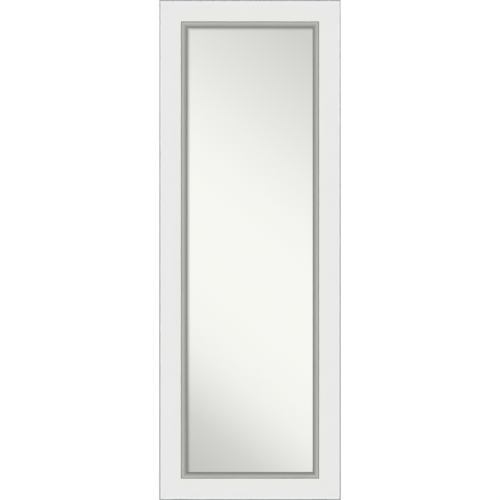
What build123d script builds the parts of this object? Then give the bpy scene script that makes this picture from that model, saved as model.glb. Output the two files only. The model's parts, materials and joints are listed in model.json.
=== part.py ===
from build123d import *
import os
from math import acos, atan2, cos, degrees, radians, sin, sqrt, tan

# A full-length framed floor mirror on a folding rear leg.
#
# Every piece is drawn with the frame upright on the bench: X across, Z up the frame, Y towards the
# back. The back of the frame is the plane Y = 0 and its bottom edge is Z = 0. A height above the
# frame's back, towards the front, is called a depth and runs along -Y.
# save() then leans each piece back to the way the mirror stands on the floor. There the origin is
# on the floor, in the middle of the footprint, and the mirror faces -Y.

# ---------------------------------------------------------------- driving dimensions, mm and degrees
GLASS_W = 355.6             # 14 x 48 inch pane
GLASS_H = 1219.2
GLASS_T = 3.0
GLASS_OVERLAP = 7.9         # glass hidden behind the slip on each side
MOULDING_W = 76.2           # white face and silver slip together
FRAME_D = 28.0
LEAN = 10.0                 # how far the mirror leans back

# white moulding section
FACE_W = 58.8               # white face, up to the slip
FACE_FALL = 0.8             # the face falls this much towards the slip
BEVEL_W = 3.7               # steep bevel round the outer edge, across the face
BEVEL_H = 6.6               # and down the side
BEVEL_R = 0.6               # its two softened corners
ARRIS_R = 0.7
GLASS_CLEAR = 1.4           # gap between the pane and the rebate wall
LEDGE_DEPTH = 21.0          # ledge that carries the slip
MITRE_GAP = 0.1

# silver slip section
QUIRK_W = 2.2               # sunk line beside the white face
QUIRK_DEPTH = 24.2
CREST_W = 5.4
CREST_DEPTH = 25.6
SIGHT_DEPTH = 20.2          # front corner of the sight edge
GLASS_DEPTH = 17.5          # front of the pane

# backing
SPACER_T = 2.0
BOARD_T = 3.0
CLIP_T = 1.2
CLIP_W = 12.7
CLIP_FOOT_L = 14.7
CLIP_TOE_L = 12.0
CLIP_HOLE_INSET = 6.5       # hole centre from the foot's free end
CLIP_PITCH = 300.0

# corner plates, hangers and bumpers
PLATE_T = 2.0
PLATE_ARM_W = 16.0
PLATE_ARM_L = 75.0
PLATE_INSET = 25.5          # plate's outer corner, in from both edges of the frame
PLATE_HOLES = (29.5, 62.5)  # along each arm, from the outer corner
HANGER_Z = 1125.0           # height of the ring's bar
HANGER_W = 14.0
HANGER_L = 44.0
HANGER_HOLES = (22.0, 36.0) # below the ring's bar, clear of the ring
HANGER_T = 1.5
RING_WIRE_R = 1.5
RING_W = 21.2               # between wire centres
RING_L = 15.6
RING_CORNER = 2.5
KNUCKLE_R = 1.7             # inside radius of the rolled knuckle
KNUCKLE_TURN = 290.0        # the rolled end stops short of the plate
BUMPER_R = 6.0
BUMPER_T = 4.0
BUMPER_INSET = 12.0

# feet under the bottom rail
FOOT_W = 42.0
FOOT_REAR = 3.0             # rear face, forward of the frame's back
FOOT_FRONT = 19.5
FOOT_T = 3.5                # at the rear face
FOOT_X = 190.0
FOOT_SCREW_X = 12.0

# rear leg
PIVOT_Z = 860.0
PIVOT_Y = 16.0
LEG_X = 196.0               # tube centre from the middle
TUBE_R = 8.0
TUBE_WALL = 1.2
BEND_R = 50.0
SLEEVE_R = 10.5
SLEEVE_L = 40.0
SLEEVE_X = 122.0
FOLDED_GAP = 3.0            # folded sleeves stop this far above the frame's bottom edge
PLUG_T = 2.5
PLUG_L = 9.0
STOP_GAP = 0.3
BOLT_R = 3.0
BOLT_CLEAR = 0.08
WASHER_R = 7.0
WASHER_T = 1.2
SIDE_GAP = 0.1              # between each flat face of the pivot stack
BRACKET_T = 2.5
EAR_R = 11.0
NUT_AF = 10.0
NUT_T = 5.2

# wood screws
SCREW_R = 1.7
PAN_R = 3.4
PAN_H = 2.2
PAN_TOP_R = 2.0
SUNK_R = 3.7

# ---------------------------------------------------------------- worked-out sizes
OPENING_W = GLASS_W - 2 * GLASS_OVERLAP
OPENING_H = GLASS_H - 2 * GLASS_OVERLAP
FRAME_W = OPENING_W + 2 * MOULDING_W
FRAME_H = OPENING_H + 2 * MOULDING_W
WALL_W = MOULDING_W - GLASS_OVERLAP - GLASS_CLEAR
STILE_X = FRAME_W / 2 - WALL_W / 2
GLASS_BACK = GLASS_DEPTH - GLASS_T
BOARD_FRONT = GLASS_BACK - SPACER_T
BOARD_BACK = BOARD_FRONT - BOARD_T
MIDDLE = FRAME_H / 2
RING_Y = KNUCKLE_R + HANGER_T

lean_cos, lean_sin = cos(radians(LEAN)), sin(radians(LEAN))
# height of the frame's bottom back edge above the floor
LIFT = FOOT_T * lean_cos - FOOT_REAR * lean_sin

# The leg is as long as it can be and still fold up behind the frame. Its angle follows from that.
LEG_L = PIVOT_Z - SLEEVE_R - FOLDED_GAP
pivot_height = PIVOT_Z * lean_cos - PIVOT_Y * lean_sin + LIFT
leg_slope = degrees(acos((pivot_height - SLEEVE_R) / LEG_L))
LEG_OPEN = LEAN + leg_slope
# The tube reaches past its pivot until its end meets the bracket's stop.
stop_reach = PIVOT_Y - BRACKET_T - STOP_GAP - TUBE_R * cos(radians(LEG_OPEN))
LEG_TOP = stop_reach / sin(radians(LEG_OPEN))

# The footprint runs from the frame's front edge to the leg's sleeves.
bevel_corner_in = BEVEL_W + BEVEL_R * tan(atan2(BEVEL_H, BEVEL_W) / 2)
footprint_front = -(FRAME_D - BEVEL_R) * lean_cos + bevel_corner_in * lean_sin - BEVEL_R
pivot_back = PIVOT_Z * lean_sin + PIVOT_Y * lean_cos
footprint_back = pivot_back + LEG_L * sin(radians(leg_slope)) + SLEEVE_R
FOOTPRINT_Y = (footprint_front + footprint_back) / 2

# ---------------------------------------------------------------- how the pieces are placed
standing = Location((0, -FOOTPRINT_Y, LIFT)) * Location((0, 0, 0), (-LEAN, 0, 0))


def turned(y, z, angle):
    """The standing place of a piece turned about the line across the frame at (y, z)."""
    return standing * Location((0, y, z)) * Location((0, 0, 0), (angle, 0, 0)) * Location((0, -y, -z))


leg_open = turned(PIVOT_Y, PIVOT_Z, LEG_OPEN)
ring_plumb = turned(RING_Y, HANGER_Z, LEAN)


def save(name, piece, place=standing):
    """Labels a finished piece, puts it where it stands and writes it."""
    placed = piece.part.moved(place)
    placed.label = name
    export_step(placed, f"parts/{name}.step")


# One plane for each side of the frame. Its origin is the middle of that side's outer back edge, its
# X runs in towards the glass, its Y from the back to the front, and its Z along the side.
SIDES = {
    "bottom": (Plane((0, 0, 0), x_dir=(0, 0, 1), z_dir=(1, 0, 0)), FRAME_W),
    "top": (Plane((0, 0, FRAME_H), x_dir=(0, 0, -1), z_dir=(-1, 0, 0)), FRAME_W),
    "left": (Plane((-FRAME_W / 2, 0, MIDDLE), x_dir=(1, 0, 0), z_dir=(0, 0, -1)), FRAME_H),
    "right": (Plane((FRAME_W / 2, 0, MIDDLE), x_dir=(-1, 0, 0), z_dir=(0, 0, 1)), FRAME_H),
}
MOULDING_NAMES = {
    "bottom": "rail_bottom",
    "top": "rail_top",
    "left": "stile_left",
    "right": "stile_right",
}
HANDS = {"left": -1, "right": 1}
LEVELS = {"bottom": -1, "top": 1}


# ---------------------------------------------------------------- fasteners
def cross_recess(face_y, width=3.4, slot=0.9, deep=1.3):
    """The shape of the recess in a screw head whose top is at Y = face_y."""
    with BuildPart() as recess:
        with BuildSketch(Plane.XZ.offset(-face_y)):
            Rectangle(width, slot)
            Rectangle(slot, width)
        extrude(amount=deep)
    return recess.part


def pan_screw(length):
    """A pan head wood screw along Y. Its head rests on Y = 0 and it points towards the front."""
    with BuildPart() as screw:
        with BuildSketch():
            with BuildLine():
                shank = Polyline(
                    (0, PAN_H),
                    (0, -length),
                    (SCREW_R, -length + 3),
                    (SCREW_R, 0),
                    (PAN_R, 0),
                )
                rim = EllipticalCenterArc((PAN_TOP_R, 0), PAN_R - PAN_TOP_R, PAN_H, arc_size=90)
                Line(rim @ 1, shank @ 0)
            make_face()
        revolve(axis=Axis.Y)
        add(cross_recess(PAN_H), mode=Mode.SUBTRACT)
    return screw.part


def sunk_screw(length):
    """A countersunk wood screw along Y, its flat head flush with Y = 0."""
    with BuildPart() as screw:
        with BuildSketch():
            with BuildLine():
                Polyline(
                    (0, -length),
                    (SCREW_R, -length + 3),
                    (SCREW_R, SCREW_R - SUNK_R),
                    (SUNK_R, 0),
                    (0, 0),
                    close=True,
                )
            make_face()
        revolve(axis=Axis.Y)
        add(cross_recess(0), mode=Mode.SUBTRACT)
    return screw.part


def screws_at(screw, places):
    """A group of equal screws."""
    with BuildPart() as group:
        with Locations(*places):
            add(screw)
    return group


# Clips stand at these distances from the middle of each side.
long_side = [CLIP_PITCH * (step - 1.5) for step in range(4)]
CLIP_PLACES = {"bottom": [0], "top": [0], "left": long_side, "right": long_side}
CLIP_HOLE = WALL_W + 1.5 * CLIP_T - CLIP_FOOT_L + CLIP_HOLE_INSET


def along_side(side, inset, distance):
    """The point on the frame's back that is this far in from a side's outer edge and along it."""
    plane = SIDES[side][0]
    return plane.origin + plane.x_dir * inset + plane.z_dir * distance


clip_screws = screws_at(
    pan_screw(12),
    [along_side(s, CLIP_HOLE, d) + Vector(0, CLIP_T, 0) for s in SIDES for d in CLIP_PLACES[s]],
)

# A corner plate's holes, from its outer corner.
arm_middle = PLATE_ARM_W / 2
plate_holes = [(hole, arm_middle) for hole in PLATE_HOLES] + [(arm_middle, hole) for hole in PLATE_HOLES]


def plate_point(hand, level, x, z):
    """A point on a corner plate, given from the plate's outer corner, on the plate's outer face."""
    across = hand * (FRAME_W / 2 - PLATE_INSET - x)
    return Vector(across, PLATE_T, MIDDLE + level * (MIDDLE - PLATE_INSET - z))


corner_plate_screws = screws_at(
    sunk_screw(14),
    [plate_point(h, v, x, z) for h in HANDS.values() for v in LEVELS.values() for x, z in plate_holes],
)

hanger_screws = screws_at(
    pan_screw(16),
    [(h * STILE_X, HANGER_T, HANGER_Z - drop) for h in HANDS.values() for drop in HANGER_HOLES],
)

ear_inside = LEG_X + TUBE_R + WASHER_T + 2 * SIDE_GAP
BRACKET_BASE_W = 32.0
BRACKET_BASE_H = 56.0
BRACKET_DROP = 34.0         # base below the pivot
BRACKET_HOLES_X = (ear_inside + 9, ear_inside + 25)
BRACKET_HOLES_Z = (PIVOT_Z - 25, PIVOT_Z + 13)
bracket_screws = screws_at(
    pan_screw(18),
    [(h * x, BRACKET_T, z) for h in HANDS.values() for x in BRACKET_HOLES_X for z in BRACKET_HOLES_Z],
)

foot_middle = (FOOT_REAR + FOOT_FRONT) / 2
FOOT_WEB = 1.6              # rubber between the screw head and the rail
foot_screws = screws_at(
    pan_screw(14),
    [
        Location((h * FOOT_X + x, -foot_middle, -FOOT_WEB), (-90, 0, 0))
        for h in HANDS.values()
        for x in (-FOOT_SCREW_X, FOOT_SCREW_X)
    ],
)

# V-shaped steel nails, driven into the back across each mitre.
NAIL_LEG, NAIL_T, NAIL_L = 7.0, 0.8, 10.0
NAIL_INSETS = (15.0, 50.0)
with BuildPart() as corner_nails:
    for hand in HANDS.values():
        for level in LEVELS.values():
            for inset in NAIL_INSETS:
                tip = Vector(hand * (FRAME_W / 2 - inset), MIDDLE + level * (MIDDLE - inset))
                inward = Vector(-hand * NAIL_LEG, 0)
                down_stile = Vector(0, -level * NAIL_LEG)
                with BuildSketch(Plane.XZ):
                    with BuildLine():
                        Polyline(tip + inward, tip, tip + down_stile)
                    trace(line_width=NAIL_T)
                extrude(amount=NAIL_L)

FASTENERS = [clip_screws, corner_plate_screws, hanger_screws, bracket_screws, foot_screws, corner_nails]


# ---------------------------------------------------------------- frame
# The white moulding's section: X in from the outer edge, Y up from the back.
arris_centre = (FACE_W - ARRIS_R, FRAME_D - FACE_FALL - ARRIS_R)
with BuildSketch() as moulding_section:
    with BuildLine():
        Polyline(
            (BEVEL_W, FRAME_D),
            (0, FRAME_D - BEVEL_H),
            (0, 0),
            (WALL_W, 0),
            (WALL_W, LEDGE_DEPTH),
            (FACE_W, LEDGE_DEPTH),
            (FACE_W, arris_centre[1]),
        )
        arris = CenterArc(arris_centre, ARRIS_R, 0, 90)
        Line(arris @ 1, (BEVEL_W, FRAME_D))
    make_face()
    outermost, next_in = moulding_section.vertices().group_by(Axis.X)[:2]
    fillet([outermost.sort_by(Axis.Y)[-1], next_in[0]], BEVEL_R)

# The silver slip's section: a sunk line, a flat crest, and a round fall to the sight edge.
crest_start = FACE_W + QUIRK_W
crest_end = crest_start + CREST_W
with BuildSketch() as slip_section:
    with BuildLine():
        Polyline(
            (MOULDING_W, SIGHT_DEPTH),
            (MOULDING_W, GLASS_DEPTH),
            (WALL_W, GLASS_DEPTH),
            (WALL_W, LEDGE_DEPTH),
            (FACE_W, LEDGE_DEPTH),
            (FACE_W, QUIRK_DEPTH),
            (crest_start - 0.6, QUIRK_DEPTH),
            (crest_start, CREST_DEPTH),
            (crest_end, CREST_DEPTH),
        )
        EllipticalCenterArc(
            (crest_end, SIGHT_DEPTH), MOULDING_W - crest_end, CREST_DEPTH - SIGHT_DEPTH, arc_size=90
        )
    make_face()


def mitred_bar(side, section):
    """A bar along one side of the frame, its ends cut at 45 degrees."""
    plane, length = SIDES[side]
    with BuildPart() as bar:
        with BuildSketch(plane):
            add(section.sketch)
        extrude(amount=length / 2, both=True)
        for end in (1, -1):
            corner = plane.origin + plane.z_dir * end * (length / 2 - MITRE_GAP / sqrt(2))
            split(bisect_by=Plane(corner, z_dir=plane.x_dir + plane.z_dir * end), keep=Keep.BOTTOM)
    return bar


mouldings, slips = {}, {}
for side in SIDES:
    with BuildPart() as mouldings[side]:
        add(mitred_bar(side, moulding_section).part)
        for fasteners in FASTENERS:
            add(fasteners.part, mode=Mode.SUBTRACT)
    slips[side] = mitred_bar(side, slip_section)


# ---------------------------------------------------------------- glass and backing
def sheet_behind(width, height, depth, thickness):
    """A flat sheet in the frame's opening, its front at this depth."""
    with BuildPart() as sheet:
        with BuildSketch(Plane.XZ.offset(depth - thickness)):
            with Locations((0, MIDDLE)):
                Rectangle(width, height)
        extrude(amount=thickness)
    return sheet


GROUND_EDGE = 0.4
with BuildPart() as mirror_pane:
    add(sheet_behind(GLASS_W, GLASS_H, GLASS_DEPTH, GLASS_T).part)
    chamfer(mirror_pane.faces().filter_by(Axis.Y).edges(), GROUND_EDGE)

cardboard_spacer = sheet_behind(GLASS_W - 1, GLASS_H - 1, GLASS_BACK, SPACER_T)

with BuildPart() as backing_board:
    add(sheet_behind(GLASS_W, GLASS_H, BOARD_FRONT, BOARD_T).part)
    fillet(backing_board.edges().filter_by(Axis.Y), 2)

# The pane stands on two blocks in the bottom rebate, a quarter of its width in from each end.
BLOCK_W = 25.0
with BuildPart() as setting_blocks:
    with BuildSketch(Plane.XY.offset(WALL_W)):
        with Locations((0, -(GLASS_DEPTH + GLASS_BACK) / 2)):
            with GridLocations(GLASS_W / 2, 0, 2, 1):
                Rectangle(BLOCK_W, GLASS_T)
    extrude(amount=GLASS_CLEAR)

# Offset clips: a foot on the frame's back, a web down the rebate wall and a toe on the board.
web_middle = WALL_W + CLIP_T
with BuildPart() as offset_clips:
    for side, places in CLIP_PLACES.items():
        for distance in places:
            with BuildSketch(SIDES[side][0].offset(distance - CLIP_W / 2)):
                with BuildLine():
                    FilletPolyline(
                        (web_middle + CLIP_T / 2 - CLIP_FOOT_L, -CLIP_T / 2),
                        (web_middle, -CLIP_T / 2),
                        (web_middle, BOARD_BACK - CLIP_T / 2),
                        (web_middle + CLIP_TOE_L, BOARD_BACK - CLIP_T / 2),
                        radius=CLIP_T,
                    )
                trace(line_width=CLIP_T)
            extrude(amount=CLIP_W)
    with Locations(*[along_side(s, CLIP_HOLE, d) for s in SIDES for d in CLIP_PLACES[s]]):
        Cylinder(SCREW_R + 0.2, 4 * CLIP_T, rotation=(90, 0, 0), mode=Mode.SUBTRACT)


# ---------------------------------------------------------------- hardware on the back
def corner_plate(hand, level):
    """A flat L across one corner, with four countersunk holes."""
    outer = plate_point(hand, level, 0, 0)
    with BuildPart() as plate:
        with BuildSketch(Plane.XZ.offset(-PLATE_T)) as outline:
            for reach_x, reach_z in ((PLATE_ARM_L, PLATE_ARM_W), (PLATE_ARM_W, PLATE_ARM_L)):
                far = plate_point(hand, level, reach_x, reach_z)
                with Locations(((outer.X + far.X) / 2, (outer.Z + far.Z) / 2)):
                    Rectangle(reach_x, reach_z)
            fillet(outline.vertices(), 2)
        extrude(amount=PLATE_T)
        holes = [plate_point(hand, level, x, z) for x, z in plate_holes]
        with Locations(*[Location(hole, (-90, 0, 0)) for hole in holes]):
            CounterSinkHole(SCREW_R + 0.2, SUNK_R + 0.15, depth=PLATE_T, counter_sink_angle=90)
    return plate


def hanger_plate(hand):
    """A strap hanger: a plate with two holes, rolled into a knuckle round the ring's bar."""
    left_face = Plane((hand * STILE_X - HANGER_W / 2, 0, HANGER_Z), x_dir=(0, 1, 0), z_dir=(1, 0, 0))
    with BuildPart() as plate:
        with BuildSketch(left_face):
            with BuildLine():
                inside = CenterArc((RING_Y, 0), KNUCKLE_R, 180, -KNUCKLE_TURN)
                outside = CenterArc((RING_Y, 0), RING_Y, 180, -KNUCKLE_TURN)
                Line(inside @ 1, outside @ 1)
                Polyline((0, 0), (0, -HANGER_L), (HANGER_T, -HANGER_L), (HANGER_T, 0))
            make_face()
        extrude(amount=HANGER_W)
        fillet(plate.edges().filter_by(Axis.Y).group_by(Axis.Z)[0], HANGER_W / 2 - 0.5)
        with Locations(*[(hand * STILE_X, HANGER_T, HANGER_Z - drop) for drop in HANGER_HOLES]):
            Cylinder(SCREW_R + 0.2, 4 * HANGER_T, rotation=(90, 0, 0), mode=Mode.SUBTRACT)
    return plate


def hanger_ring(hand):
    """A wire D-ring hanging from the knuckle, its straight bar at the top."""
    half = RING_W / 2
    bar_middle = Vector(hand * STILE_X, RING_Y, HANGER_Z)
    with BuildPart() as ring:
        with BuildLine(Plane(bar_middle, x_dir=(1, 0, 0), z_dir=(0, -1, 0))):
            Line((0, 0), (half - RING_CORNER, 0))
            RadiusArc((half - RING_CORNER, 0), (half, -RING_CORNER), RING_CORNER)
            Line((half, -RING_CORNER), (half, half - RING_L))
            ThreePointArc((half, half - RING_L), (0, -RING_L), (-half, half - RING_L))
            Line((-half, half - RING_L), (-half, -RING_CORNER))
            RadiusArc((-half, -RING_CORNER), (RING_CORNER - half, 0), RING_CORNER)
            Line((RING_CORNER - half, 0), (0, 0))
        with BuildSketch(Plane(bar_middle, z_dir=(1, 0, 0))):
            Circle(RING_WIRE_R)
        sweep()
    return ring


with BuildPart() as wall_bumpers:
    with BuildSketch(Plane.XZ):
        with Locations((0, MIDDLE)):
            with GridLocations(FRAME_W - 2 * BUMPER_INSET, FRAME_H - 2 * BUMPER_INSET, 2, 2):
                Circle(BUMPER_R)
    extrude(amount=-BUMPER_T)
    fillet(wall_bumpers.edges().filter_by(GeomType.CIRCLE).group_by(Axis.Y)[-1], 1.5)


def rubber_foot(hand):
    """A wedge under the bottom rail that is flat on the floor when the mirror leans back."""

    def floor_at(depth):
        return -(LIFT + depth * lean_sin) / lean_cos

    with BuildPart() as foot:
        with BuildSketch(Plane.YZ.offset(hand * FOOT_X - FOOT_W / 2)):
            with BuildLine():
                Polyline(
                    (-FOOT_REAR, 0),
                    (-FOOT_FRONT, 0),
                    (-FOOT_FRONT, floor_at(FOOT_FRONT)),
                    (-FOOT_REAR, floor_at(FOOT_REAR)),
                    close=True,
                )
            make_face()
        extrude(amount=FOOT_W)
        fillet(foot.edges().filter_by(Axis.Z), 3)
        with Locations((hand * FOOT_X, -foot_middle, 0)):
            with GridLocations(2 * FOOT_SCREW_X, 0, 2, 1):
                Cylinder(SCREW_R + 0.2, 20, mode=Mode.SUBTRACT)
        with Locations((hand * FOOT_X, -foot_middle, -FOOT_WEB)):
            with GridLocations(2 * FOOT_SCREW_X, 0, 2, 1):
                Cylinder(
                    PAN_R + 0.5, 20, align=(Align.CENTER, Align.CENTER, Align.MAX), mode=Mode.SUBTRACT
                )
    return foot


# ---------------------------------------------------------------- leg pivots
BRACKET_TONGUE_IN = 17.0    # the stop reaches this far in under the tube
BRACKET_TONGUE_DROP = 6.0   # and starts this far above the pivot


def pivot_bracket(hand):
    """A base screwed to the stile, an ear for the pivot bolt and a tongue that stops the open leg."""
    base_top = PIVOT_Z - BRACKET_DROP + BRACKET_BASE_H
    with BuildPart() as bracket:
        with BuildSketch(Plane.XZ) as base:
            with Locations((hand * (ear_inside + BRACKET_BASE_W / 2), base_top - BRACKET_BASE_H / 2)):
                Rectangle(BRACKET_BASE_W, BRACKET_BASE_H)
            tongue_low = PIVOT_Z + BRACKET_TONGUE_DROP
            with Locations((hand * (ear_inside - BRACKET_TONGUE_IN / 2), (tongue_low + base_top) / 2)):
                Rectangle(BRACKET_TONGUE_IN, base_top - tongue_low)
            fillet(base.vertices().group_by(Axis.X)[0] + base.vertices().group_by(Axis.X)[-1], 3)
        extrude(amount=-BRACKET_T)
        ear_start = ear_inside if hand > 0 else -ear_inside - BRACKET_T
        with BuildSketch(Plane.YZ.offset(ear_start)):
            with BuildLine():
                CenterArc((PIVOT_Y, PIVOT_Z), EAR_R, 0, 360)
                Line((0, PIVOT_Z - 24), (0, PIVOT_Z + 18))
            make_hull()
        extrude(amount=BRACKET_T)
        with Locations((hand * (ear_inside + BRACKET_T / 2), PIVOT_Y, PIVOT_Z)):
            Cylinder(BOLT_R + BOLT_CLEAR, 2 * BRACKET_T, rotation=(0, 90, 0), mode=Mode.SUBTRACT)
        holes = [(hand * x, BRACKET_T / 2, z) for x in BRACKET_HOLES_X for z in BRACKET_HOLES_Z]
        with Locations(*holes):
            Cylinder(SCREW_R + 0.2, 2 * BRACKET_T, rotation=(90, 0, 0), mode=Mode.SUBTRACT)
    return bracket


def pivot_plane(hand, x):
    """A plane across the pivot's axis at this distance from the middle, facing outwards."""
    return Plane((hand * x, PIVOT_Y, PIVOT_Z), x_dir=(0, hand, 0), z_dir=(hand, 0, 0))


ear_outside = ear_inside + BRACKET_T
nut_outside = LEG_X - TUBE_R - WASHER_T - 2 * SIDE_GAP
BOLT_HEAD_R, BOLT_HEAD_H, BOLT_SOCKET_AF = 5.3, 3.4, 4.0
BOLT_END = 1.2              # thread beyond the nut


def pivot_bolt(hand):
    """A button head bolt through the ear, the washers and the tube."""
    shank_end = nut_outside - NUT_T - BOLT_END
    with BuildPart() as bolt:
        with BuildSketch(pivot_plane(hand, ear_outside)):
            Circle(BOLT_HEAD_R)
        extrude(amount=BOLT_HEAD_H)
        rim = bolt.edges().filter_by(GeomType.CIRCLE).sort_by(Axis.X)
        fillet(rim[-1] if hand > 0 else rim[0], BOLT_HEAD_H - 0.6)
        with BuildSketch(pivot_plane(hand, ear_outside + BOLT_HEAD_H)):
            RegularPolygon(BOLT_SOCKET_AF / 2, 6, major_radius=False)
        extrude(amount=-2.2, mode=Mode.SUBTRACT)
        with BuildSketch(pivot_plane(hand, shank_end)):
            Circle(BOLT_R)
        extrude(amount=ear_outside - shank_end)
        tip = bolt.edges().filter_by(GeomType.CIRCLE).sort_by(Axis.X)
        chamfer(tip[0] if hand > 0 else tip[-1], 0.5)
    return bolt


def pivot_nut(hand):
    """A locking nut: a hexagon with a round collar."""
    with BuildPart() as nut:
        with BuildSketch(pivot_plane(hand, nut_outside)):
            RegularPolygon(NUT_AF / 2, 6, major_radius=False)
        extrude(amount=-NUT_T * 0.7)
        with BuildSketch(pivot_plane(hand, nut_outside - NUT_T * 0.7)):
            Circle(NUT_AF / 2 - 0.4)
        extrude(amount=-NUT_T * 0.3)
        with BuildSketch(pivot_plane(hand, nut_outside)):
            Circle(BOLT_R + 0.02)
        extrude(amount=-NUT_T, mode=Mode.SUBTRACT)
    return nut


with BuildPart() as pivot_washers:
    for hand in HANDS.values():
        for outer_face in (ear_inside - SIDE_GAP, LEG_X - TUBE_R - SIDE_GAP):
            with BuildSketch(pivot_plane(hand, outer_face)):
                Circle(WASHER_R)
                Circle(BOLT_R + BOLT_CLEAR, mode=Mode.SUBTRACT)
            extrude(amount=-WASHER_T)


# ---------------------------------------------------------------- the leg, drawn folded flat
tube_top = PIVOT_Z + LEG_TOP - PLUG_T
with BuildPart() as leg_tube:
    with BuildLine(Plane.XZ.offset(-PIVOT_Y)):
        FilletPolyline(
            (-LEG_X, tube_top),
            (-LEG_X, PIVOT_Z - LEG_L),
            (LEG_X, PIVOT_Z - LEG_L),
            (LEG_X, tube_top),
            radius=BEND_R,
        )
    with BuildSketch(Plane((-LEG_X, PIVOT_Y, tube_top), z_dir=(0, 0, -1))):
        Circle(TUBE_R)
        Circle(TUBE_R - TUBE_WALL, mode=Mode.SUBTRACT)
    sweep()
    with Locations((0, PIVOT_Y, PIVOT_Z)):
        Cylinder(BOLT_R + BOLT_CLEAR, 3 * LEG_X, rotation=(0, 90, 0), mode=Mode.SUBTRACT)


def leg_plug(hand):
    """A plastic plug that closes the top of the tube."""
    with BuildPart() as plug:
        with BuildSketch(Plane((hand * LEG_X, PIVOT_Y, tube_top))):
            Circle(TUBE_R)
        extrude(amount=PLUG_T)
        fillet(plug.edges().sort_by(Axis.Z)[-1], 0.6)
        with BuildSketch(Plane((hand * LEG_X, PIVOT_Y, tube_top))):
            Circle(TUBE_R - TUBE_WALL - 0.05)
        extrude(amount=-PLUG_L)
    return plug


GROOVE_W, GROOVE_DEEP, GROOVE_PITCH = 2.0, 0.9, 8.0


def leg_sleeve(hand):
    """A ribbed rubber sleeve on the leg's crossbar."""
    with BuildPart() as sleeve:
        axis_plane = Plane((hand * SLEEVE_X, PIVOT_Y, PIVOT_Z - LEG_L), z_dir=(1, 0, 0))
        with BuildSketch(axis_plane):
            Circle(SLEEVE_R)
        extrude(amount=SLEEVE_L / 2, both=True)
        fillet(sleeve.edges(), 1)
        for step in (-1.5, -0.5, 0.5, 1.5):
            with BuildSketch(axis_plane.offset(step * GROOVE_PITCH - GROOVE_W / 2)):
                Circle(SLEEVE_R + 1)
                Circle(SLEEVE_R - GROOVE_DEEP, mode=Mode.SUBTRACT)
            extrude(amount=GROOVE_W, mode=Mode.SUBTRACT)
        with BuildSketch(axis_plane):
            Circle(TUBE_R + 0.02)
        extrude(amount=SLEEVE_L, both=True, mode=Mode.SUBTRACT)
    return sleeve


# ---------------------------------------------------------------- write every piece
os.makedirs("parts", exist_ok=True)
for side in SIDES:
    save(MOULDING_NAMES[side], mouldings[side])
    save(f"slip_{side}", slips[side])
save("mirror_pane", mirror_pane)
save("cardboard_spacer", cardboard_spacer)
save("backing_board", backing_board)
save("setting_blocks", setting_blocks)
save("offset_clips", offset_clips)
save("clip_screws", clip_screws)
save("corner_nails", corner_nails)
save("corner_plate_screws", corner_plate_screws)
save("hanger_screws", hanger_screws)
save("wall_bumpers", wall_bumpers)
save("foot_screws", foot_screws)
save("pivot_bracket_screws", bracket_screws)
save("pivot_washers", pivot_washers)
save("leg_tube", leg_tube, leg_open)
for name, hand in HANDS.items():
    for level_name, level in LEVELS.items():
        save(f"corner_plate_{level_name}_{name}", corner_plate(hand, level))
    save(f"hanger_plate_{name}", hanger_plate(hand))
    save(f"hanger_ring_{name}", hanger_ring(hand), ring_plumb)
    save(f"foot_{name}", rubber_foot(hand))
    save(f"pivot_bracket_{name}", pivot_bracket(hand))
    save(f"pivot_bolt_{name}", pivot_bolt(hand))
    save(f"pivot_nut_{name}", pivot_nut(hand))
    save(f"leg_plug_{name}", leg_plug(hand), leg_open)
    save(f"leg_sleeve_{name}", leg_sleeve(hand), leg_open)
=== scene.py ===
import json
from math import cos, radians, sin

import bpy
from mathutils import Matrix, Vector


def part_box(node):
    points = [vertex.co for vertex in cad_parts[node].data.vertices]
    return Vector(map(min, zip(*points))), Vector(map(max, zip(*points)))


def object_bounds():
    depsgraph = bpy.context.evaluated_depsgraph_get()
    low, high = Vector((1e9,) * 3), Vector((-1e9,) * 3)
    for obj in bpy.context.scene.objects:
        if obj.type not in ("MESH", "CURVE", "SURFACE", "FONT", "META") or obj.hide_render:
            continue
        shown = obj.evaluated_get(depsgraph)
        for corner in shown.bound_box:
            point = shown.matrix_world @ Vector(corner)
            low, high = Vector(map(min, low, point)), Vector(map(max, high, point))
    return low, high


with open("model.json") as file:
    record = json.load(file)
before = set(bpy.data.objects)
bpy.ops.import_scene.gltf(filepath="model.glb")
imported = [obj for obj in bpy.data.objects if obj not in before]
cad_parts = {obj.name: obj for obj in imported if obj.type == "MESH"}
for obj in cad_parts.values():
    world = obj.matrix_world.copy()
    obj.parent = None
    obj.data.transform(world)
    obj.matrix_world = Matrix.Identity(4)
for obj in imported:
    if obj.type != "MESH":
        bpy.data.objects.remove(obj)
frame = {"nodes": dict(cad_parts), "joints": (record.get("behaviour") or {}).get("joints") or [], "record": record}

cad_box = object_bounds()
nodes = frame["nodes"]
joints = {j["name"]: j for j in frame["joints"]}

# ---------------------------------------------------------------- the frame's own axes
# On the bench the frame stands upright: X across, Y from front to back with the back plane at 0,
# Z up from the bottom edge. It leans back by LEAN about its bottom edge, and the leg's pivot fixes
# where the bench axes lie in the row's frame.
LEAN = radians(10)
PIVOT_ON_BENCH = Vector((0, 0.016, 0.860))
BENCH_TURN = Matrix.Rotation(-LEAN, 3, "X")
BENCH_ORIGIN = Vector(joints["leg_fold"]["pos_m"]) - BENCH_TURN @ PIVOT_ON_BENCH

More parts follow.
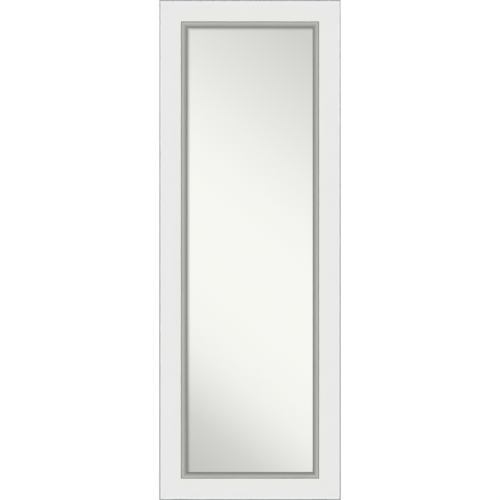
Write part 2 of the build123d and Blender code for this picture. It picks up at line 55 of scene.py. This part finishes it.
FRAME_DEPTH = 0.028
FRAME_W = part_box("stile_right")[1].x * 2
FRAME_H = 1.3558
FACE_W = 0.0588             # white face, from the outer edge to the slip
SLIP_W = 0.0174
MOULDING_W = FACE_W + SLIP_W
BEVEL_W = 0.0037            # steep bevel round the outer edge, across the face
BEVEL_H = 0.0066            # and down the side
LEDGE_DEPTH = 0.0210        # ledge that carries the slip, above the frame's back
GLASS_DEPTH = 0.0175        # front of the pane, above the frame's back
GLASS_T = 0.0030
OPEN_W = FRAME_W - 2 * MOULDING_W
OPEN_H = FRAME_H - 2 * MOULDING_W
FACING = BENCH_TURN @ Vector((0, -1, 0))


def from_bench(x, y, z):
    """A point given on the bench, in the row's frame."""
    return BENCH_ORIGIN + BENCH_TURN @ Vector((x, y, z))


# ---------------------------------------------------------------- camera
# The camera looks square on at the glass. The frame runs about 1 mm past the picture's top and bottom.
CAMERA_AWAY = 12.0
PICTURE_H = 1.3536
LENS_SENSOR = 36.0          # mm
look_at = from_bench(0, -FRAME_DEPTH, FRAME_H / 2)
camera_data = bpy.data.cameras.new("camera")
camera_data.sensor_width = LENS_SENSOR
camera_data.lens = LENS_SENSOR / 2 * CAMERA_AWAY / (PICTURE_H / 2)
camera_data.clip_start = 0.1
camera_data.clip_end = 200
camera = bpy.data.objects.new("camera", camera_data)
bpy.context.scene.collection.objects.link(camera)
camera.location = look_at + FACING * CAMERA_AWAY
camera.rotation_mode = "QUATERNION"
camera.rotation_quaternion = (-FACING).to_track_quat("-Z", "Y")
bpy.context.scene.camera = camera
bpy.context.scene.view_settings.view_transform = "Standard"


# ---------------------------------------------------------------- material nodes
class Paint:
    """Builds one material's nodes. Vectors are in metres in the piece's own, resting place."""

    def __init__(self, name):
        self.material = bpy.data.materials.new(name)
        self.material.use_nodes = True
        self.tree = self.material.node_tree
        self.tree.nodes.clear()
        self.output = self.tree.nodes.new("ShaderNodeOutputMaterial")
        self.place = self.node("ShaderNodeTexCoord").outputs["Object"]

    def node(self, kind, *values, **named):
        """A new node. values go to its inputs in order; named ones are inputs or node settings."""
        made = self.tree.nodes.new(kind)
        for key, value in named.items():
            if hasattr(made, key) and key.islower():
                setattr(made, key, value)
            else:
                self.feed(made.inputs[key.replace("_", " ")], value)
        for socket, value in zip(made.inputs, values):
            self.feed(socket, value)
        return made

    def feed(self, socket, value):
        """Links a node's output to a socket, or sets the socket to a number or colour."""
        if value is None:
            return
        if isinstance(value, bpy.types.NodeSocket):
            self.tree.links.new(value, socket)
        elif isinstance(value, (tuple, list, Vector)) and socket.type == "RGBA":
            socket.default_value = (*value[:3], 1)
        else:
            socket.default_value = value

    def math(self, operation, a, b=None, c=None):
        """One arithmetic step on numbers or node outputs."""
        made = self.node("ShaderNodeMath", operation=operation)
        for socket, value in zip(made.inputs, (a, b, c)):
            self.feed(socket, value)
        return made.outputs[0]

    def bench(self):
        """The place on the upright frame: x across, y to the back, z up, in metres."""
        mapping = self.node("ShaderNodeMapping", vector_type="TEXTURE")
        self.feed(mapping.inputs["Vector"], self.place)
        mapping.inputs["Location"].default_value = BENCH_ORIGIN
        mapping.inputs["Rotation"].default_value = (-LEAN, 0, 0)
        return mapping.outputs["Vector"]

    def split(self, vector):
        """A vector's x, y and z."""
        return self.node("ShaderNodeSeparateXYZ", vector).outputs

    def stretch(self, vector, x=1, y=1, z=1):
        """A vector scaled along its axes. A small scale draws a pattern out along that axis."""
        mapping = self.node("ShaderNodeMapping")
        self.feed(mapping.inputs["Vector"], vector)
        mapping.inputs["Scale"].default_value = (x, y, z)
        return mapping.outputs["Vector"]

    def noise(self, vector, size, detail=3.0, rough=0.55, bend=0.0):
        """Soft noise from 0 to 1 with features about this size, in metres."""
        made = self.node("ShaderNodeTexNoise", noise_dimensions="3D")
        self.feed(made.inputs["Vector"], vector)
        made.inputs["Scale"].default_value = 1 / size
        made.inputs["Detail"].default_value = detail
        made.inputs["Roughness"].default_value = rough
        made.inputs["Distortion"].default_value = bend
        return made.outputs["Fac"]

    def cells(self, vector, size):
        """Small cells about this size, in metres."""
        made = self.node("ShaderNodeTexVoronoi")
        self.feed(made.inputs["Vector"], vector)
        made.inputs["Scale"].default_value = 1 / size
        return made.outputs

    def remap(self, value, low, high, to_low=0.0, to_high=1.0, smooth=True):
        """value, taken from between low and high to between to_low and to_high, and clamped there."""
        step = "SMOOTHSTEP" if smooth else "LINEAR"
        made = self.node("ShaderNodeMapRange", interpolation_type=step)
        for key, number in zip(("Value", "From Min", "From Max", "To Min", "To Max"),
                               (value, low, high, to_low, to_high)):
            self.feed(made.inputs[key], number)
        return made.outputs["Result"]

    def mix(self, share, a, b, how="MIX"):
        """Colours a and b mixed by share."""
        made = self.node("ShaderNodeMix", data_type="RGBA", blend_type=how)
        for index, value in ((0, share), (6, a), (7, b)):
            self.feed(made.inputs[index], value)
        return made.outputs[2]

    def ramp(self, value, *stops):
        """A colour ramp through (position, colour) stops."""
        made = self.node("ShaderNodeValToRGB", value)
        band = made.color_ramp
        band.elements[0].position, band.elements[0].color = stops[0][0], (*stops[0][1], 1)
        band.elements[1].position, band.elements[1].color = stops[-1][0], (*stops[-1][1], 1)
        for position, colour in stops[1:-1]:
            band.elements.new(position).color = (*colour, 1)
        return made.outputs["Color"]

    def bump(self, height, depth, strength=1.0, under=None):
        """Relief from a height that runs from 0 to 1, this deep in metres."""
        made = self.node("ShaderNodeBump")
        made.inputs["Strength"].default_value = strength
        made.inputs["Distance"].default_value = depth
        self.feed(made.inputs["Height"], height)
        self.feed(made.inputs["Normal"], under)
        return made.outputs["Normal"]

    def surface(self, colour, roughness, metallic=0.0, normal=None, **fixed):
        """The finished shader. fixed names other sockets that have one value all over."""
        shader = self.node("ShaderNodeBsdfPrincipled")
        self.feed(shader.inputs["Base Color"], colour)
        self.feed(shader.inputs["Roughness"], roughness)
        self.feed(shader.inputs["Metallic"], metallic)
        self.feed(shader.inputs["Normal"], normal)
        for key, value in fixed.items():
            shader.inputs[key.replace("_", " ")].default_value = value
        self.tree.links.new(shader.outputs[0], self.output.inputs["Surface"])
        return self.material


def grey(value):
    """An even grey, as a colour."""
    return (value, value, value)


def frame_places(paint):
    """Distances on the frame: in from the nearest outer edge, and forward from the back."""
    across, back, up = paint.split(paint.bench())
    side = paint.math("SUBTRACT", FRAME_W / 2, paint.math("ABSOLUTE", across))
    above = paint.math("SUBTRACT", FRAME_H, up)
    inward = paint.math("MINIMUM", side, paint.math("MINIMUM", up, above))
    return inward, paint.math("MULTIPLY", back, -1.0)


# ---------------------------------------------------------------- materials
FOIL_COOL = (0.868, 0.868, 0.870)       # near the outer edge
FOIL_WARM = (0.868, 0.868, 0.842)       # towards the slip
FOIL_LAP = 0.0080                       # how far the foil laps onto the frame's back
LAP_RAGGED = 0.0012                     # and how uneven its end is


def white_foil(paint, inward, forward, cloud):
    """White foil: almost even, warmer towards the slip, with painted highlights by the slip and just inside the
    bevel, and painted shade on the bevel.
    """
    speck = paint.noise(paint.place, 0.0012, 2.0)
    foil = paint.mix(paint.remap(inward, 0.024, 0.046), FOIL_COOL, FOIL_WARM)
    foil = paint.mix(paint.remap(cloud, 0.3, 0.7, 0.0, 0.10), foil, (0.82, 0.82, 0.82))
    foil = paint.mix(paint.remap(speck, 0.35, 0.65, 0.0, 0.05), foil, (0.78, 0.78, 0.77))
    # painted highlight: the foil is painted lighter along the arris by the slip
    painted_highlight_by_slip = paint.remap(inward, FACE_W - 0.0022, FACE_W - 0.0012, 0.0, 0.8)
    foil = paint.mix(painted_highlight_by_slip, foil, (0.97, 0.97, 0.955))
    # painted highlight: the foil is painted lighter on the face just inside the bevel
    painted_highlight_by_bevel = paint.remap(inward, BEVEL_W + 0.0018, BEVEL_W + 0.0035, 0.7, 0.0)
    foil = paint.mix(painted_highlight_by_bevel, foil, grey(0.96))
    # painted shade: the foil is painted grey over the steep bevel, where it turns from the light
    bevel_foot = FRAME_DEPTH - BEVEL_H
    near_edge = paint.remap(inward, BEVEL_W - 0.0001, BEVEL_W + 0.0004, 1.0, 0.0)
    above_foot = paint.remap(forward, bevel_foot - 0.0006, bevel_foot + 0.0004)
    painted_shade_on_bevel = paint.math("MULTIPLY", near_edge, above_foot)
    return paint.mix(paint.math("MULTIPLY", painted_shade_on_bevel, 0.85), foil, grey(0.51))


def bare_places(paint, inward, forward):
    """1 where the moulding's core shows: on the back beyond the foil's lap, and down the rebate."""
    wander = paint.remap(paint.noise(paint.place, 0.006, 4.0), 0.0, 1.0, -LAP_RAGGED, LAP_RAGGED, False)
    beyond_lap = paint.remap(paint.math("ADD", inward, wander), FOIL_LAP - 0.0002, FOIL_LAP + 0.0002)
    on_back = paint.math("LESS_THAN", forward, 0.00025)
    past_face = paint.math("GREATER_THAN", inward, FACE_W + 0.0004)
    under_ledge = paint.math("LESS_THAN", forward, LEDGE_DEPTH + 0.0002)
    in_rebate = paint.math("MULTIPLY", past_face, under_ledge)
    return paint.math("MAXIMUM", paint.math("MULTIPLY", on_back, beyond_lap), in_rebate)


def white_moulding():
    """Satin white foil over a fibreboard core. The foil laps a few millimetres onto the back."""
    paint = Paint("white_moulding")
    inward, forward = frame_places(paint)
    here = paint.place
    cloud = paint.noise(here, 0.09, 2.0)
    foil = white_foil(paint, inward, forward, cloud)
    fibre = paint.noise(here, 0.0009, 6.0, 0.75, 0.6)
    blotch = paint.noise(here, 0.022, 4.0, 0.6)
    board = paint.ramp(
        fibre,
        (0.28, (0.30, 0.195, 0.105)),
        (0.5, (0.405, 0.28, 0.162)),
        (0.74, (0.49, 0.355, 0.22)),
    )
    board = paint.mix(paint.remap(blotch, 0.35, 0.7, 0.0, 0.3), board, (0.345, 0.235, 0.135))
    bare = bare_places(paint, inward, forward)
    colour = paint.mix(bare, foil, board)
    roughness = paint.mix(bare, paint.remap(cloud, 0.2, 0.8, 0.40, 0.48), grey(0.86))
    ripple = paint.bump(paint.noise(here, 0.0022, 3.0), 0.00004, 0.5)
    nap = paint.bump(paint.math("MULTIPLY", fibre, bare), 0.00025, 0.8, ripple)
    return paint.surface(colour, roughness, 0.0, nap, Specular_IOR_Level=0.22)


def silver_slip(name, along_x):
    """Silver foil with fine lines drawn along the slip, with painted shade in the sunk line and down towards the
    sight edge.
    """
    paint = Paint(name)
    inward, forward = frame_places(paint)
    here = paint.bench()
    drawn_out = (0.012, 1.0, 1.0) if along_x else (1.0, 1.0, 0.012)
    lines = paint.stretch(here, *drawn_out)
    fine = paint.noise(lines, 0.0009, 3.0, 0.6)
    leaf = paint.noise(here, 0.018, 4.0, 0.6, 0.6)
    across = paint.remap(inward, FACE_W, MOULDING_W, 0.0, 1.0, False)
    # painted shade across the slip: dark in the sunk line, lighter on the crest, then darker down to the sight
    # edge
    tone = paint.ramp(
        across,
        (0.0, grey(0.335)),
        (0.11, grey(0.365)),
        (0.17, grey(0.54)),
        (0.40, grey(0.54)),
        (0.56, grey(0.435)),
        (0.71, grey(0.36)),
        (0.88, grey(0.305)),
        (1.0, grey(0.285)),
    )
    tone = paint.mix(paint.remap(fine, 0.3, 0.7, 0.0, 0.16), tone, grey(0.25))
    tone = paint.mix(paint.remap(leaf, 0.35, 0.75, 0.0, 0.14), tone, (0.40, 0.385, 0.35))
    tone = paint.mix(1.0, tone, (1.0, 1.0, 0.965), "MULTIPLY")
    bare = paint.math("LESS_THAN", forward, GLASS_DEPTH + 0.0002)
    colour = paint.mix(bare, tone, (0.42, 0.285, 0.16))
    roughness = paint.remap(fine, 0.25, 0.75, 0.34, 0.5)
    relief = paint.bump(fine, 0.00005, 0.6)
    return paint.surface(colour, roughness, 0.35, relief)


def mirror_glass():
    """Silvered glass: a clear, faintly green mirror in front, grey paint behind, green cut edges."""
    paint = Paint("mirror_glass")
    inward, forward = frame_places(paint)
    front = paint.math("GREATER_THAN", forward, GLASS_DEPTH - 0.00008)
    back = paint.math("LESS_THAN", forward, GLASS_DEPTH - GLASS_T + 0.0001)
    smear = paint.noise(paint.stretch(paint.bench(), 1.0, 1.0, 0.6), 0.16, 3.0, 0.5, 0.7)
    # painted shade: the silver is painted darker in a 3 mm band along the slip's sight edge
    beyond_painted_rim_shade = paint.remap(inward, MOULDING_W, MOULDING_W + 0.003)
    silver = paint.mix(beyond_painted_rim_shade, (0.885, 0.905, 0.88), (0.925, 0.932, 0.915))
    body = paint.mix(back, (0.16, 0.30, 0.24), (0.23, 0.24, 0.25))
    colour = paint.mix(front, body, silver)
    haze = paint.remap(smear, 0.45, 0.8, 0.0, 0.012)
    roughness = paint.mix(front, grey(0.4), haze)
    return paint.surface(colour, roughness, front)


SCREEN_WAVES = 3600.0       # the hardboard's screen print, in radians a metre
FLUTE_WAVES = 1000.0        # the cardboard's flutes


def hardboard():
    """Brown pressed fibreboard, smooth, with pale and dark fibres pressed into it."""
    paint = Paint("hardboard")
    here = paint.bench()
    blotch = paint.noise(here, 0.06, 4.0, 0.55, 0.5)
    fleck = paint.noise(here, 0.0021, 6.0, 0.72, 2.4)
    strand = paint.noise(paint.stretch(here, 0.35, 1.0, 1.0), 0.0016, 4.0, 0.7, 3.0)
    colour = paint.ramp(
        fleck,
        (0.3, (0.088, 0.044, 0.020)),
        (0.5, (0.152, 0.082, 0.040)),
        (0.74, (0.235, 0.140, 0.074)),
    )
    colour = paint.mix(paint.remap(strand, 0.57, 0.74, 0.0, 0.45), colour, (0.27, 0.17, 0.095))
    colour = paint.mix(paint.remap(blotch, 0.35, 0.7, 0.0, 0.35), colour, (0.112, 0.058, 0.028))
    # the screen's print on the rough side
    x, _, z = paint.split(here)
    wires_across = paint.math("SINE", paint.math("MULTIPLY", x, SCREEN_WAVES))
    wires_up = paint.math("SINE", paint.math("MULTIPLY", z, SCREEN_WAVES))
    mesh = paint.remap(paint.math("MULTIPLY", wires_across, wires_up), -1.0, 1.0, 0.0, 1.0, False)
    relief = paint.bump(mesh, 0.00012, 0.5, paint.bump(fleck, 0.00025, 0.6))
    roughness = paint.remap(blotch, 0.3, 0.7, 0.6, 0.78)
    return paint.surface(colour, roughness, 0.0, relief)


def cardboard():
    """Kraft board with flutes that show as faint stripes."""
    paint = Paint("cardboard")
    here = paint.bench()
    x, _, _ = paint.split(here)
    flute = paint.math("SINE", paint.math("MULTIPLY", x, FLUTE_WAVES))
    fibre = paint.noise(here, 0.0015, 4.0, 0.7)
    colour = paint.mix(paint.remap(fibre, 0.3, 0.7), (0.30, 0.19, 0.095), (0.44, 0.30, 0.165))
    colour = paint.mix(paint.remap(flute, -1.0, 1.0, 0.0, 0.12), colour, (0.2, 0.12, 0.06))
    return paint.surface(colour, 0.9, 0.0, paint.bump(flute, 0.0001, 0.4))


def zinc_steel():
    """Bright zinc plate: cloudy, finely scratched steel with a trace of yellow."""
    paint = Paint("zinc_steel")
    here = paint.place
    cloud = paint.noise(here, 0.007, 4.0, 0.6, 0.8)
    scratch = paint.noise(paint.stretch(here, 1.0, 0.08, 0.08), 0.0007, 3.0, 0.6)
    spangle = paint.cells(here, 0.0022)["Distance"]
    colour = paint.mix(paint.remap(cloud, 0.3, 0.7), (0.36, 0.37, 0.385), (0.54, 0.545, 0.54))
    colour = paint.mix(paint.remap(spangle, 0.1, 0.6, 0.0, 0.18), colour, (0.30, 0.31, 0.325))
    brushed = paint.remap(scratch, 0.3, 0.7, 0.24, 0.38)
    roughness = paint.math("ADD", brushed, paint.remap(cloud, 0.3, 0.7, 0.0, 0.08))
    return paint.surface(colour, roughness, 0.95, paint.bump(scratch, 0.00003, 0.5))


def leg_paint():
    """Silver-grey powder coat with its fine orange-peel skin."""
    paint = Paint("leg_paint")
    here = paint.place
    peel = paint.noise(here, 0.0016, 2.0, 0.4)
    flake = paint.cells(here, 0.0004)["Color"]
    cloud = paint.noise(here, 0.05, 3.0)
    colour = paint.mix(0.10, (0.46, 0.465, 0.47), flake)
    colour = paint.mix(paint.remap(cloud, 0.3, 0.7, 0.0, 0.15), colour, (0.40, 0.40, 0.405))
    roughness = paint.remap(peel, 0.3, 0.7, 0.36, 0.46)
    return paint.surface(colour, roughness, 0.35, paint.bump(peel, 0.00012, 0.55))


def grey_rubber():
    """Dark moulded rubber with a dull bloom."""
    paint = Paint("grey_rubber")
    here = paint.place
    bloom = paint.noise(here, 0.008, 4.0, 0.6)
    grit = paint.noise(here, 0.0007, 3.0, 0.6)
    colour = paint.mix(paint.remap(bloom, 0.35, 0.75), grey(0.022), (0.052, 0.051, 0.049))
    roughness = paint.remap(bloom, 0.3, 0.7, 0.62, 0.82)
    return paint.surface(colour, roughness, 0.0, paint.bump(grit, 0.00012, 0.6))


def black_plastic():
    """Moulded black plastic with a fine spark-eroded texture."""
    paint = Paint("black_plastic")
    grain = paint.cells(paint.place, 0.0006)["Distance"]
    colour = paint.mix(paint.noise(paint.place, 0.004), grey(0.014), grey(0.026))
    return paint.surface(colour, 0.5, 0.0, paint.bump(grain, 0.00008, 0.5))


def nylon():
    """Natural nylon: waxy off-white."""
    paint = Paint("nylon")
    cloud = paint.noise(paint.place, 0.003, 3.0)
    colour = paint.mix(cloud, (0.70, 0.68, 0.60), (0.80, 0.79, 0.73))
    roughness = paint.remap(cloud, 0.3, 0.7, 0.36, 0.5)
    relief = paint.bump(paint.noise(paint.place, 0.0008), 0.00004, 0.4)
    return paint.surface(colour, roughness, 0.0, relief, Subsurface_Weight=0.25, Subsurface_Scale=0.002)


def soft_bumper():
    """Clear polyurethane, slightly yellow, over its white adhesive."""
    paint = Paint("soft_bumper")
    cloud = paint.noise(paint.place, 0.004, 3.0)
    colour = paint.mix(cloud, (0.66, 0.66, 0.61), (0.74, 0.74, 0.70))
    roughness = paint.remap(cloud, 0.3, 0.7, 0.18, 0.3)
    relief = paint.bump(paint.noise(paint.place, 0.002), 0.00003, 0.4)
    return paint.surface(colour, roughness, 0.0, relief, Subsurface_Weight=0.4, Subsurface_Scale=0.003)


# A slip's lines run along it, so the slips across the frame have their own material.
slot_of = {part["node"]: part["material_slot"] for part in frame["record"]["subparts"]}
finishes = {
    "white_moulding": white_moulding(),
    "mirror_glass": mirror_glass(),
    "hardboard": hardboard(),
    "cardboard": cardboard(),
    "zinc_steel": zinc_steel(),
    "leg_paint": leg_paint(),
    "grey_rubber": grey_rubber(),
    "black_plastic": black_plastic(),
    "nylon": nylon(),
    "soft_bumper": soft_bumper(),
}
slip_across = silver_slip("silver_slip_across", True)
slip_up = silver_slip("silver_slip_up", False)
for name, thing in nodes.items():
    if name in ("slip_top", "slip_bottom"):
        thing.material_slots[0].material = slip_across
    elif name in ("slip_left", "slip_right"):
        thing.material_slots[0].material = slip_up
    else:
        thing.material_slots[0].material = finishes[slot_of[name]]


# ---------------------------------------------------------------- the studio
def floor_material():
    """Pale and matt, and clear from below. Its glow keeps it white and lets soft shadows show near by."""
    paint = Paint("floor")
    away = paint.node("ShaderNodeVectorMath", operation="LENGTH")
    paint.feed(away.inputs[0], paint.place)
    strength = paint.remap(away.outputs["Value"], 0.5, 6.0, 0.71, 0.83)
    glow = paint.node("ShaderNodeEmission", (1, 1, 1), strength).outputs[0]
    matt = paint.node("ShaderNodeBsdfDiffuse", grey(0.85)).outputs[0]
    both = paint.node("ShaderNodeAddShader", glow, matt).outputs[0]
    behind = paint.node("ShaderNodeNewGeometry").outputs["Backfacing"]
    clear = paint.node("ShaderNodeBsdfTransparent").outputs[0]
    one_sided = paint.node("ShaderNodeMixShader", behind, both, clear).outputs[0]
    paint.tree.links.new(one_sided, paint.output.inputs["Surface"])
    return paint.material


def flat_stage(name, half_x, half_y, material):
    """A flat rectangle for the stage, centred on its own origin."""
    corners = [(-half_x, -half_y, 0), (half_x, -half_y, 0), (half_x, half_y, 0), (-half_x, half_y, 0)]
    data = bpy.data.meshes.new(name)
    data.from_pydata(corners, [], [(0, 1, 2, 3)])
    data.materials.append(material)
    made = bpy.data.objects.new(name, data)
    bpy.context.scene.collection.objects.link(made)
    return made


FLOOR_HALF = 40.0
floor = flat_stage("floor", FLOOR_HALF, FLOOR_HALF, floor_material())
floor.visible_diffuse = False
floor.visible_glossy = False


def glow_material(paint, tone):
    """Ends a material in plain light of this tone."""
    glow = paint.node("ShaderNodeEmission", tone, 1.0)
    paint.tree.links.new(glow.outputs[0], paint.output.inputs["Surface"])
    return paint.material


def dome(name, radius, material):
    """A wide sphere round the scene that lights nothing and casts no shadow."""
    bpy.ops.mesh.primitive_uv_sphere_add(segments=64, ring_count=32, radius=radius)
    made = bpy.context.object
    made.name = name
    made.data.materials.append(material)
    made.visible_diffuse = False
    made.visible_shadow = False
    return made


ROOM_RADIUS = FLOOR_HALF * 1.2
BANDS_UP = 18.0             # radians of band for each radian up
BANDS_ROUND = 14.0          # and round, whole, so that the bands close
BAND_MIDDLE = 0.86
BAND_SWING = 0.12


def room_material():
    """What gloss and glass see all round: a pale room with broad slanting bands, dim overhead."""
    paint = Paint("room")
    x, y, z = paint.split(paint.place)
    elevation = paint.math("ARCSINE", paint.math("DIVIDE", z, ROOM_RADIUS))
    around = paint.math("ARCTAN2", x, y)
    slant = paint.math("MULTIPLY_ADD", elevation, BANDS_UP, paint.math("MULTIPLY", around, BANDS_ROUND))
    band = paint.math("MULTIPLY_ADD", paint.math("SINE", slant), BAND_SWING, BAND_MIDDLE)
    walls = paint.node("ShaderNodeCombineColor", band, band, band).outputs[0]
    overhead = paint.ramp(
        paint.remap(elevation, radians(15), radians(90), 0.0, 1.0, False),
        (0.0, grey(1.0)),
        (0.25, grey(0.85)),
        (0.55, grey(0.45)),
        (0.80, grey(0.55)),
        (1.0, grey(0.9)),
    )
    return glow_material(paint, paint.mix(1.0, walls, overhead, "MULTIPLY"))


backdrop = dome("backdrop", ROOM_RADIUS * 1.02, glow_material(Paint("backdrop"), grey(1.0)))
backdrop.visible_glossy = False
room = dome("room", ROOM_RADIUS, room_material())
room.visible_camera = False

# What the glass reflects: a large card behind the camera, toned like a room with a bright diagonal.
CARD_AWAY = CAMERA_AWAY + 0.4
CARD_HALF_W = 2.0
CARD_HALF_H = 2.2
GLASS_SUNK = FRAME_DEPTH - GLASS_DEPTH
# how much larger the patch of card is that the camera sees in the glass than the glass itself
CARD_SPREAD = (CAMERA_AWAY + CARD_AWAY + 2 * GLASS_SUNK) / (CAMERA_AWAY + GLASS_SUNK)
TOP_SLOPE = 0.225           # drop of the top diagonal, in opening heights, across the opening's width
LOW_SLOPE = 0.237           # and of the low one
TOP_START = -0.1            # where the top diagonal's ramp starts at mid width, in opening heights
LOW_START = 0.2             # and the low one's
SLIP_REACH = 0.020          # the painted slip shade on the card is gone within this
CARD_TINT = (0.996, 0.998, 0.968)


def card_material():
    """The card's tone, laid out over the patch that the glass's visible opening reflects."""
    paint = Paint("card")
    across, up, _ = paint.split(paint.place)
    right = paint.math("DIVIDE", across, OPEN_W * CARD_SPREAD)
    down = paint.math("SUBTRACT", 0.5, paint.math("DIVIDE", up, OPEN_H * CARD_SPREAD))
    # both diagonals climb to the left: the card is dimmer above the top one and below the low one
    top = paint.math("SUBTRACT", down, paint.math("MULTIPLY", right, TOP_SLOPE))
    low = paint.math("SUBTRACT", down, paint.math("MULTIPLY", right, LOW_SLOPE))
    top_tone = paint.ramp(
        paint.math("SUBTRACT", top, TOP_START),
        (0.02, grey(0.68)),
        (0.17, grey(0.79)),
        (0.35, grey(0.92)),
        (0.45, grey(0.97)),
        (0.55, grey(1.0)),
    )
    low_tone = paint.ramp(
        paint.math("SUBTRACT", low, LOW_START),
        (0.46, grey(1.0)),
        (0.54, grey(0.98)),
        (0.62, grey(0.94)),
        (0.70, grey(0.84)),
        (0.78, grey(0.71)),
        (0.86, grey(0.64)),
        (0.94, grey(0.59)),
    )
    tone = paint.mix(1.0, top_tone, low_tone, "MULTIPLY")
    tone = paint.mix(1.0, tone, CARD_TINT, "MULTIPLY")
    # painted shade on the card, which the glass shows along its left and top as the slip's soft shadow and
    # reflection
    from_left = paint.math("MULTIPLY", paint.math("ADD", right, 0.5), OPEN_W)
    from_top = paint.math("ADD", paint.math("MULTIPLY", down, OPEN_H), 0.001)
    from_slip = paint.math("ABSOLUTE", paint.math("MINIMUM", from_left, from_top))
    painted_slip_shade = paint.ramp(
        paint.math("DIVIDE", from_slip, SLIP_REACH),
        (0.0, grey(0.46)),
        (0.12, grey(0.60)),
        (0.27, grey(0.84)),
        (0.42, grey(0.97)),
        (0.52, grey(1.0)),
    )
    return glow_material(paint, paint.mix(1.0, tone, painted_slip_shade, "MULTIPLY"))


card = flat_stage("card", CARD_HALF_W, CARD_HALF_H, card_material())
card.rotation_mode = "QUATERNION"
card.rotation_quaternion = FACING.to_track_quat("Z", "Y")
card.location = look_at + FACING * CARD_AWAY
card.visible_camera = False
card.visible_diffuse = False
card.visible_shadow = False

world = bpy.data.worlds.new("studio")
bpy.context.scene.world = world
world.use_nodes = True
sky = world.node_tree.nodes["Background"]
sky.inputs["Color"].default_value = (1, 1, 1, 1)
sky.inputs["Strength"].default_value = 0.24


def soft_light(name, azimuth, elevation, away, size, power, onto, glossy=True):
    """A square area light aimed at the middle of the object.

    Azimuth 0 is in front and 90 on the +X side. onto is the collection that says what it falls on,
    and glossy says whether gloss shows it.
    """
    centre = (cad_box[0] + cad_box[1]) / 2
    a, e = radians(azimuth), radians(elevation)
    toward = Vector((sin(a) * cos(e), -cos(a) * cos(e), sin(e)))
    data = bpy.data.lights.new(name, "AREA")
    data.shape = "SQUARE"
    data.size = size
    data.energy = power
    made = bpy.data.objects.new(name, data)
    bpy.context.scene.collection.objects.link(made)
    made.location = centre + toward * away
    made.rotation_mode = "QUATERNION"
    made.rotation_quaternion = (-toward).to_track_quat("-Z", "Y")
    made.visible_camera = False
    made.visible_glossy = glossy
    made.light_linking.receiver_collection = onto
    return made


def receivers(name, state):
    """A collection that makes a light fall on the floor alone, or on all but the floor."""
    made = bpy.data.collections.new(name)
    made.objects.link(floor)
    made.collection_objects[0].light_linking.link_state = state
    return made


only_floor = receivers("only_floor", "INCLUDE")
all_but_floor = receivers("all_but_floor", "EXCLUDE")

soft_light("key", azimuth=0, elevation=10, away=9.0, size=1.6, power=563, onto=all_but_floor, glossy=False)
soft_light("top", azimuth=0, elevation=85, away=5.0, size=3.0, power=60, onto=only_floor, glossy=False)
soft_light("back_left", azimuth=216, elevation=8, away=4.5, size=2.0, power=130, onto=all_but_floor)
soft_light("back_right", azimuth=144, elevation=12, away=4.5, size=2.0, power=155, onto=all_but_floor)
